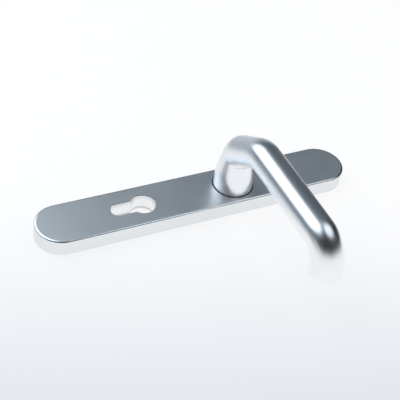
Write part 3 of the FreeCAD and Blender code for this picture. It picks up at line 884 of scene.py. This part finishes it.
class ESCUTCHEON_OT_bushes(bpy.types.Operator):
    """Dark plastic bush round the neck, and its fellow in the back plate"""
    bl_idname = "escutcheon.bushes"
    bl_label = "Bushes"

    def execute(self, context):
        plate, lever = settings().plate, settings().lever
        seat = BUSH_HIGH.z - plate.bush_flange
        bore = lever.journal + lever.foot_gap
        edge = 0.15 * MM
        front = turned("front_bush", [
            (bore, BUSH_LOW.z), (bore, BUSH_HIGH.z), (BUSH_HIGH.x - edge, BUSH_HIGH.z),
            (BUSH_HIGH.x, BUSH_HIGH.z - edge), (BUSH_HIGH.x, seat), (plate.bush_barrel, seat),
            (plate.bush_barrel, BUSH_LOW.z)])
        low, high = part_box("rear_bush")
        barrel = lever.spigot + lever.foot_gap + 1.0 * MM
        back = turned("back_bush", [
            (lever.spigot + lever.foot_gap, low.z), (lever.spigot + lever.foot_gap, high.z),
            (high.x, high.z), (high.x, plate.post_bottom), (barrel, plate.post_bottom),
            (barrel, low.z + edge), (barrel - edge, low.z)])
        for mesh, node in ((front, "guide_bush"), (back, "rear_bush")):
            piece = shown(mesh.name, mesh, dark_plastic())
            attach(piece, "plate")
            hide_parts(node)
        return {"FINISHED"}


def square_ring(half, z, steps):
    """Square with as many points as a circle, each at the circle's own angle."""
    ring = []
    for i in range(steps):
        angle = 2 * math.pi * i / steps
        c, s = math.cos(angle), math.sin(angle)
        reach = half / max(abs(c), abs(s))
        ring.append(Vector((reach * c, reach * s, z)))
    return ring


class ESCUTCHEON_OT_insert(bpy.types.Operator):
    """Steel insert with the square socket for the lock's spindle"""
    bl_idname = "escutcheon.insert"
    bl_label = "Socket insert"

    def execute(self, context):
        steps = 96
        low, high = INSERT_LOW.z, INSERT_HIGH.z
        radius = INSERT_HIGH.x
        width, depth, chamfer = 8.1 * MM, 26.5 * MM, 0.4 * MM
        half = width / 2
        skin = Skin()
        first, last = skin.rings([
            circle(radius, high, steps), circle(radius, low, steps),
            square_ring(half + chamfer, low, steps), square_ring(half, low + chamfer, steps),
            square_ring(half, low + depth, steps)])
        skin.cap(first)
        skin.cap(last)
        piece = shown("spindle_socket", skin.mesh("spindle_socket"), machined_steel())
        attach(piece, "lever")
        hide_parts("socket_insert")
        return {"FINISHED"}


def cross_outline(arm, half, z):
    """Outline of a cross recess, from the end of one arm round."""
    corners = []
    for quarter in range(4):
        turn = math.pi / 2 * quarter
        for x, y in ((arm, -half), (arm, half), (half, half)):
            corners.append(Vector((x * math.cos(turn) - y * math.sin(turn),
                                   x * math.sin(turn) + y * math.cos(turn), z)))
    return corners


def screw_mesh(name, head, shank, low, head_top, tip):
    """Countersunk screw seen from its head, which points to the back."""
    steps = 48
    edge = 0.12 * MM
    arm, half, depth = head - 1.0 * MM, 0.3 * MM, 0.8 * MM
    skin = Skin()
    outlines = [circle(head - edge, low, steps), circle(head, low + edge, steps),
                circle(shank, head_top, steps)]
    thread_rows, thread = 14, 0.25 * MM
    for i in range(thread_rows):
        z = head_top + (tip - head_top) * (i + 1) / (thread_rows + 1)
        outlines.append(circle(shank - (thread if i % 2 else 0.0), z, steps))
    outlines.append(circle(shank * 0.6, tip, steps))
    face, end = skin.rings(outlines)
    skin.cap(end)
    mouth, floor = skin.rings([cross_outline(arm, half, low),
                               cross_outline(arm * 0.7, half * 0.7, low + depth)])
    skin.cap(floor)
    skin.fill([face, mouth])
    return skin.mesh(name)


class ESCUTCHEON_OT_screws(bpy.types.Operator):
    """Countersunk cross-head screws in the back plate"""
    bl_idname = "escutcheon.screws"
    bl_label = "Screws"

    def execute(self, context):
        land = settings().plate.post_bottom - 0.3 * MM
        for node, name, shank in (("plate_screws", "back_screws", 1.5 * MM),
                                  ("cup_screws", "spring_cup_screws", 1.25 * MM)):
            boxes = solids_of(node)
            low, high = boxes[0]
            mesh = screw_mesh(name, (high.x - low.x) / 2, shank, low.z, land, high.z)
            places = [Vector((middle(box).x, middle(box).y, 0)) for box in boxes]
            piece = repeated(name, mesh, places, machined_steel(), turn=math.radians(37))
            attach(piece, "plate")
            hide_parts(node)
        return {"FINISHED"}


def boss_mesh(name, low, high, collar_low, collar_high):
    """Fixing boss with a real thread in its hole."""
    steps = 64
    stem, collar = 4.4 * MM, (high.x - low.x) / 2
    core, major, pitch = 2.5 * MM, 3.0 * MM, 1.0 * MM
    depth = high.z - 0.8 * MM
    lead = 0.5 * MM
    rows_per_turn = 8
    skin = Skin()
    outlines = [circle(stem, high.z, steps), circle(stem, collar_high, steps),
                circle(collar, collar_high, steps), circle(collar, collar_low, steps),
                circle(stem, collar_low, steps), circle(stem, low.z, steps),
                circle(major, low.z, steps)]
    rows = int((depth - 2 * lead) / pitch * rows_per_turn)
    for row in range(rows + 1):
        z = low.z + lead + (depth - 2 * lead) * row / rows
        ring = []
        for i in range(steps):
            turn = i / steps
            phase = (z / pitch - turn) % 1.0
            tooth = min(abs(2 * phase - 1) * 1.4, 1.0)
            radius = core + (major - core) * (1 - tooth)
            ring.append(on_circle(radius, 2 * math.pi * turn, z))
        outlines.append(ring)
    outlines.append(circle(core, depth, steps))
    first, last = skin.rings(outlines)
    skin.cap(first)
    skin.cap(last)
    return skin.mesh(name, sharp=40.0)


class ESCUTCHEON_OT_bosses(bpy.types.Operator):
    """Three steel bosses with threads for the bolts from the inner side of the door"""
    bl_idname = "escutcheon.bosses"
    bl_label = "Fixing bosses"

    def execute(self, context):
        boxes = solids_of("fixing_bosses")
        low, high = boxes[0]
        guard_low, guard_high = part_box("cylinder_guard")
        mesh = boss_mesh("threaded_bosses", low, high, guard_low.z, guard_high.z)
        places = [Vector((middle(box).x, 0, 0)) for box in boxes]
        piece = repeated("threaded_bosses", mesh, places, zinc_plating())
        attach(piece, "plate")
        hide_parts("fixing_bosses")
        return {"FINISHED"}


class ESCUTCHEON_OT_spring(bpy.types.Operator):
    """Torsion spring: lower leg in the cup, upper leg in the driver"""
    bl_idname = "escutcheon.spring"
    bl_label = "Return spring"

    def execute(self, context):
        skin = Skin()
        skin.bm.from_mesh(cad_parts["return_spring"].data)
        bmesh.ops.remove_doubles(skin.bm, verts=skin.bm.verts, dist=0.001 * MM)
        piece = shown("torsion_spring", skin.mesh("torsion_spring", sharp=60.0), spring_steel())
        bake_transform(piece)
        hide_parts("return_spring")
        return {"FINISHED"}


class ESCUTCHEON_OT_works(bpy.types.Operator):
    """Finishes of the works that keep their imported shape"""
    bl_idname = "escutcheon.works"
    bl_label = "Inner works"

    def execute(self, context):
        finishes = {
            "carrier_plate": zinc_plating(), "spring_cup": zinc_plating(),
            "armour_plate": bright_plating(), "cylinder_guard": bright_plating(),
            "guard_dowels": hardened_steel(), "stop_pin": hardened_steel(),
            "spring_driver": machined_steel(),
            "cone_washer": spring_steel(), "retaining_ring": spring_steel(),
            "thrust_washer": plain_brass(), "neck_seal": seal_rubber(),
        }
        for node, material in finishes.items():
            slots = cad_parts[node].material_slots
            if not slots:
                raise RuntimeError("the packed node %s has no material slot" % node)
            for slot in slots:
                slot.material = material
        return {"FINISHED"}


# Stage: floor, surroundings, lamps and camera

def direction(azimuth, elevation):
    """Unit vector; azimuth 0 looks along +Y and grows towards +X."""
    return Vector((math.sin(azimuth) * math.cos(elevation), math.cos(azimuth) * math.cos(elevation),
                   math.sin(elevation)))


def smooth_band(tree, value, low, high, place=(0, 0)):
    """0 below low, 1 above high, smooth between."""
    node = add_node(tree, "ShaderNodeMapRange", place, interpolation_type="SMOOTHSTEP")
    node.inputs["From Min"].default_value = low
    node.inputs["From Max"].default_value = high
    tree.links.new(value, node.inputs["Value"])
    return node.outputs["Result"]


def window(tree, value, low, high, soft, place=(0, 0)):
    """1 between low and high, with soft ends."""
    rise = smooth_band(tree, value, low - soft, low + soft, place)
    fall = smooth_band(tree, value, high + soft, high - soft, place)
    return math_node(tree, "MULTIPLY", rise, fall, place=place)


def mixed(tree, fac, first, second, place=(0, 0)):
    """Mix of two colours, each a socket or a colour."""
    node = add_node(tree, "ShaderNodeMix", place, data_type="RGBA")
    tree.links.new(fac, node.inputs["Factor"])
    for value, label in ((first, "A"), (second, "B")):
        socket = [s for s in node.inputs if s.name == label and s.type == "RGBA"][0]
        if isinstance(value, bpy.types.NodeSocket):
            tree.links.new(value, socket)
        else:
            socket.default_value = (*value, 1)
    return [s for s in node.outputs if s.type == "RGBA"][0]


def floor_material(stage):
    """Pale floor: most of its brightness is its own, with painted shade darkening it towards the
    camera, and the rest is lit and takes the shadow.
    """
    material = bpy.data.materials.new("floor")
    material.use_nodes = True
    tree = material.node_tree
    tree.nodes.clear()
    output = add_node(tree, "ShaderNodeOutputMaterial", (900, 0))
    lit = add_node(tree, "ShaderNodeBsdfDiffuse", (400, 100))
    lit.inputs["Color"].default_value = (*stage.floor_colour, 1)
    own = add_node(tree, "ShaderNodeEmission", (400, -100))
    rays = add_node(tree, "ShaderNodeLightPath", (-500, 400))
    coordinates = add_node(tree, "ShaderNodeTexCoord", (-900, 0))
    parts = add_node(tree, "ShaderNodeSeparateXYZ", (-700, 0))
    tree.links.new(coordinates.outputs["Object"], parts.inputs[0])
    x, y = parts.outputs["X"], parts.outputs["Y"]
    # Painted shade: the floor's own brightness fades from the far colour to the darker near one
    # towards the camera.
    slant = math_node(tree, "MULTIPLY_ADD", x, 0.34, y, place=(-600, 0))
    near = smooth_band(tree, slant, 0.02, -0.29, (-450, 0))
    pale = mixed(tree, near, stage.floor_far, stage.painted_shade_floor_near, (-200, 0))
    away = math_node(tree, "MULTIPLY_ADD", x, -0.35, y, place=(-600, -200))
    behind = smooth_band(tree, away, 0.02, 0.25, (-450, -200))
    left = smooth_band(tree, x, 0.05, -0.09, (-450, -300))
    far = mixed(tree, left, stage.mirror_far, stage.mirror_left, (-300, -300))
    mirrored = mixed(tree, behind, stage.mirror_near, far, (-200, -200))
    aside = math_node(tree, "SUBTRACT", x, y, place=(-600, -400))
    right = math_node(tree, "MULTIPLY", smooth_band(tree, aside, 0.03, 0.15, (-450, -400)),
                      smooth_band(tree, x, 0.12, 0.19, (-450, -500)), place=(-300, -400))
    right = math_node(tree, "MULTIPLY", right, smooth_band(tree, y, -0.05, 0.03, (-450, -600)),
                      place=(-200, -400))
    mirrored = mixed(tree, right, mirrored, stage.mirror_dark, (0, -200))
    colour_here = mixed(tree, rays.outputs["Is Camera Ray"], mirrored, pale, (200, -100))
    tree.links.new(colour_here, own.inputs["Color"])
    direct = math_node(tree, "MULTIPLY", rays.outputs["Is Camera Ray"], 0.86, place=(-200, 400))
    glossy = math_node(tree, "MAXIMUM", rays.outputs["Is Glossy Ray"],
                       rays.outputs["Is Transmission Ray"], place=(-200, 300))
    glossy = math_node(tree, "MULTIPLY", glossy, 0.9, place=(0, 300))
    amount = math_node(tree, "MAXIMUM", direct, glossy, place=(200, 300))
    mix = add_node(tree, "ShaderNodeMixShader", (700, 0))
    tree.links.new(amount, mix.inputs["Fac"])
    tree.links.new(lit.outputs[0], mix.inputs[1])
    tree.links.new(own.outputs[0], mix.inputs[2])
    tree.links.new(mix.outputs[0], output.inputs["Surface"])
    return material


def make_world(stage):
    """Surroundings: pale low down, grey behind, dark on the camera's side, lighter overhead."""
    world = bpy.data.worlds.new("studio")
    bpy.context.scene.world = world
    world.use_nodes = True
    tree = world.node_tree
    tree.nodes.clear()
    output = add_node(tree, "ShaderNodeOutputWorld", (1300, 0))
    background = add_node(tree, "ShaderNodeBackground", (1100, 0))
    coordinates = add_node(tree, "ShaderNodeTexCoord", (-1300, 0))
    parts = add_node(tree, "ShaderNodeSeparateXYZ", (-1100, 0))
    tree.links.new(coordinates.outputs["Generated"], parts.inputs[0])
    rise = math_node(tree, "ARCSINE", parts.outputs["Z"], place=(-900, 200))
    up = math_node(tree, "MULTIPLY", rise, 180 / math.pi, place=(-750, 200))
    toward = math_node(tree, "ARCTAN2", parts.outputs["X"], parts.outputs["Y"], place=(-900, -100))
    round_about = math_node(tree, "MULTIPLY", toward, 180 / math.pi, place=(-750, -100))
    opposite = math_node(tree, "ABSOLUTE", round_about, place=(-600, -250))

    camera_side = smooth_band(tree, opposite, 75, 125, (-400, 0))
    right_low = math_node(tree, "MULTIPLY", window(tree, round_about, 62, 140, 12, (-400, -200)),
                          smooth_band(tree, up, 52, 30, (-400, -300)), place=(-200, -200))
    dark = math_node(tree, "MAXIMUM", camera_side, right_low, place=(-100, -100))
    sky = mixed(tree, dark, stage.sky_grey, stage.sky_dark, (0, 0))
    overhead = add_node(tree, "ShaderNodeVectorMath", (-900, 400), operation="DOT_PRODUCT")
    tree.links.new(coordinates.outputs["Generated"], overhead.inputs[0])
    overhead.inputs[1].default_value = direction(math.radians(30), math.radians(76))
    zenith = smooth_band(tree, overhead.outputs["Value"], 0.92, 0.985, (-200, 300))
    sky = mixed(tree, zenith, sky, stage.sky_top, (200, 0))
    back_low = math_node(tree, "MULTIPLY", smooth_band(tree, up, 30, -5, (-200, -500)),
                         window(tree, round_about, -28, 40, 18, (-200, -600)), place=(0, -500))
    sky = mixed(tree, back_low, sky, stage.mirror_far, (400, 0))
    skirt_top = math_node(tree, "MULTIPLY", smooth_band(tree, opposite, 100, 160, (-200, -800)),
                          12.0, place=(0, -800))
    skirt = math_node(tree, "SUBTRACT", up, skirt_top, place=(200, -800))
    left_or_right = math_node(tree, "MAXIMUM", smooth_band(tree, round_about, -55, -97, (0, -900)),
                              smooth_band(tree, round_about, 94, 122, (0, -1000)),
                              place=(200, -700))
    camera_low = math_node(tree, "MULTIPLY", smooth_band(tree, skirt, 22, -3, (400, -800)),
                           left_or_right, place=(600, -700))
    sky = mixed(tree, camera_low, sky, stage.mirror_near, (800, 0))
    rays = add_node(tree, "ShaderNodeLightPath", (600, 400))
    seen = mixed(tree, rays.outputs["Is Diffuse Ray"], sky, stage.sky_diffuse, (900, 0))
    seen = mixed(tree, rays.outputs["Is Camera Ray"], seen, stage.floor_far, (1000, 0))
    tree.links.new(seen, background.inputs["Color"])
    tree.links.new(background.outputs[0], output.inputs["Surface"])


# Lamps: name, azimuth, elevation, distance, width, height, turn, brightness
LAMPS = (
    ("large softbox", -40, 44, 0.85, 0.91, 1.34, -30, 0.47),
    ("large softbox core", -40, 44, 0.849, 0.74, 1.16, -30, 1.31),
    ("small softbox", 102, 63, 0.70, 0.42, 0.63, 32, 1.2),
)
LAMP_CENTRE = Vector((0, -60 * MM, 60 * MM))


def softbox(name, azimuth, elevation, distance, width, height, turn, brightness, tint):
    """Soft oval lamp that faces the object; brightness 1 looks white in a mirror."""
    lamp = bpy.data.lights.new(name, "AREA")
    lamp.color = tint
    lamp.shape = "ELLIPSE"
    lamp.size = width
    lamp.size_y = height
    lamp.energy = brightness * math.pi * width * height * math.pi / 4
    lamp_object = bpy.data.objects.new(name, lamp)
    bpy.context.scene.collection.objects.link(lamp_object)
    away = direction(math.radians(azimuth), math.radians(elevation))
    lamp_object.location = LAMP_CENTRE + away * distance
    facing = away.to_track_quat("Z", "Y").to_matrix() @ Matrix.Rotation(math.radians(turn), 3, "Z")
    lamp_object.rotation_euler = facing.to_euler()


class ESCUTCHEON_OT_stage(bpy.types.Operator):
    """Pale floor, studio surroundings, soft lamps and the camera"""
    bl_idname = "escutcheon.stage"
    bl_label = "Stage"

    def execute(self, context):
        stage = settings().stage
        scene = bpy.context.scene
        half = stage.floor_half
        mesh = bpy.data.meshes.new("floor")
        mesh.from_pydata([(-half, -half, 0), (half, -half, 0), (half, half, 0), (-half, half, 0)],
                         [], [(0, 1, 2, 3)])
        floor = shown("floor", mesh, floor_material(stage))
        floor.location.z = -0.05 * MM
        make_world(stage)
        for lamp in LAMPS:
            softbox(*lamp, stage.lamp_tint)
        make_camera(stage)
        scene.view_settings.view_transform = "Standard"
        return {"FINISHED"}


def make_camera(stage):
    """The camera; at azimuth 0 it looks from -Y, where the lever points."""
    back = direction(stage.azimuth, stage.elevation)
    back.y = -back.y
    data = bpy.data.cameras.new("camera")
    data.lens = stage.focal
    data.sensor_width = 36.0
    data.clip_start = 0.01
    camera = bpy.data.objects.new("camera", data)
    bpy.context.scene.collection.objects.link(camera)
    camera.location = Vector((stage.target_x, stage.target_y, 0)) + back * stage.distance
    level = back.to_track_quat("Z", "Y").to_matrix()
    camera.rotation_euler = (level @ Matrix.Rotation(stage.roll, 3, "Z")).to_euler()
    bpy.context.scene.camera = camera


class ESCUTCHEON_PT_panel(bpy.types.Panel):
    bl_label = "Escutcheon"
    bl_idname = "ESCUTCHEON_PT_panel"
    bl_space_type = "VIEW_3D"
    bl_region_type = "UI"
    bl_category = "Escutcheon"

    def draw(self, context):
        for operator in OPERATORS:
            self.layout.operator(operator.bl_idname)


GROUPS = (PlateSettings, LeverSettings, FinishSettings, StageSettings, EscutcheonSettings)
OPERATORS = (ESCUTCHEON_OT_cover, ESCUTCHEON_OT_lever, ESCUTCHEON_OT_bushes, ESCUTCHEON_OT_insert,
             ESCUTCHEON_OT_screws, ESCUTCHEON_OT_bosses, ESCUTCHEON_OT_spring, ESCUTCHEON_OT_works,
             ESCUTCHEON_OT_stage)
CLASSES = GROUPS + OPERATORS + (ESCUTCHEON_PT_panel,)


def register():
    for cls in CLASSES:
        bpy.utils.register_class(cls)
    bpy.types.Scene.escutcheon = PointerProperty(type=EscutcheonSettings)


def unregister():
    del bpy.types.Scene.escutcheon
    for cls in reversed(CLASSES):
        bpy.utils.unregister_class(cls)


def main():
    register()
    bpy.ops.escutcheon.cover()
    bpy.ops.escutcheon.lever()
    bpy.ops.escutcheon.bushes()
    bpy.ops.escutcheon.insert()
    bpy.ops.escutcheon.screws()
    bpy.ops.escutcheon.bosses()
    bpy.ops.escutcheon.spring()
    bpy.ops.escutcheon.works()
    bpy.ops.escutcheon.stage()


if __name__ == "__main__":
    main()
